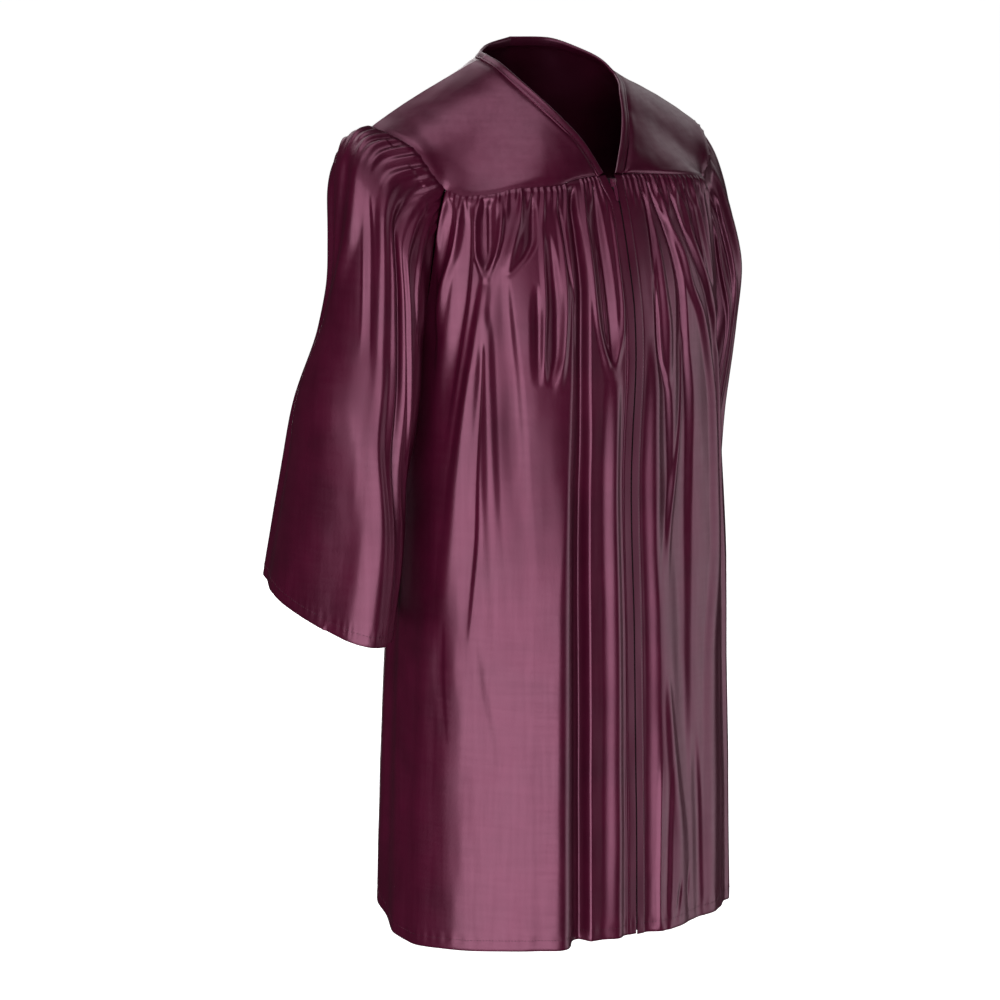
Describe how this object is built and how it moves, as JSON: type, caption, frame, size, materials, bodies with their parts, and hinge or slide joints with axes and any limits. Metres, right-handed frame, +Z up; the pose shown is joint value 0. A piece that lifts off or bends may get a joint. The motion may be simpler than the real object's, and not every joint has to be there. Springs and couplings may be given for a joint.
{
  "type": "choir robe",
  "caption": "Child's shiny satin choir robe in maroon, filled out as if worn: V neck with a narrow band, smooth yoke, gathered body and wide open sleeves, with a front zip.",
  "frame": {"origin": "midway between the two points where the shoulders meet the neck, where the robe hangs from a wearer's shoulders", "axes": "+Z up along the body, -Y to the front where the zip is, -X to the wearer's right"},
  "size_m": [0.508, 0.3242, 0.848],
  "materials": {
    "front_yoke_right": "smooth shiny polyester satin, deep maroon",
    "front_yoke_left": "smooth shiny polyester satin, deep maroon",
    "back_yoke": "smooth shiny polyester satin, deep maroon",
    "neck_band": "smooth shiny polyester satin, deep maroon",
    "front_right": "smooth shiny polyester satin, deep maroon",
    "front_left": "smooth shiny polyester satin, deep maroon",
    "back": "smooth shiny polyester satin, deep maroon",
    "sleeve_right": "smooth shiny polyester satin, deep maroon",
    "sleeve_left": "smooth shiny polyester satin, deep maroon",
    "zip_tape": "woven tape with a closed coil, dyed dark maroon",
    "zip_slider": "enamelled maroon, half gloss",
    "zip_pull": "enamelled maroon, half gloss"
  },
  "bodies": {
    "robe": {"front_yoke_right": "front_yoke_right", "front_yoke_left": "front_yoke_left", "back_yoke": "back_yoke", "neck_band": "neck_band", "front_right": "front_right", "front_left": "front_left", "back": "back", "sleeve_right": "sleeve_right", "sleeve_left": "sleeve_left", "zip_tape": "zip_tape", "zip_slider": "zip_slider"},
    "pull_tab": {"zip_pull": "zip_pull"}
  },
  "joints": [
    {"name": "pull_tab_swing", "type": "hinge", "parent": "robe", "child": "pull_tab", "pos_m": [-0.0024, -0.09993, -0.11835], "axis": [-1, 0, 0], "range_deg": [0, 150]}
  ]
}
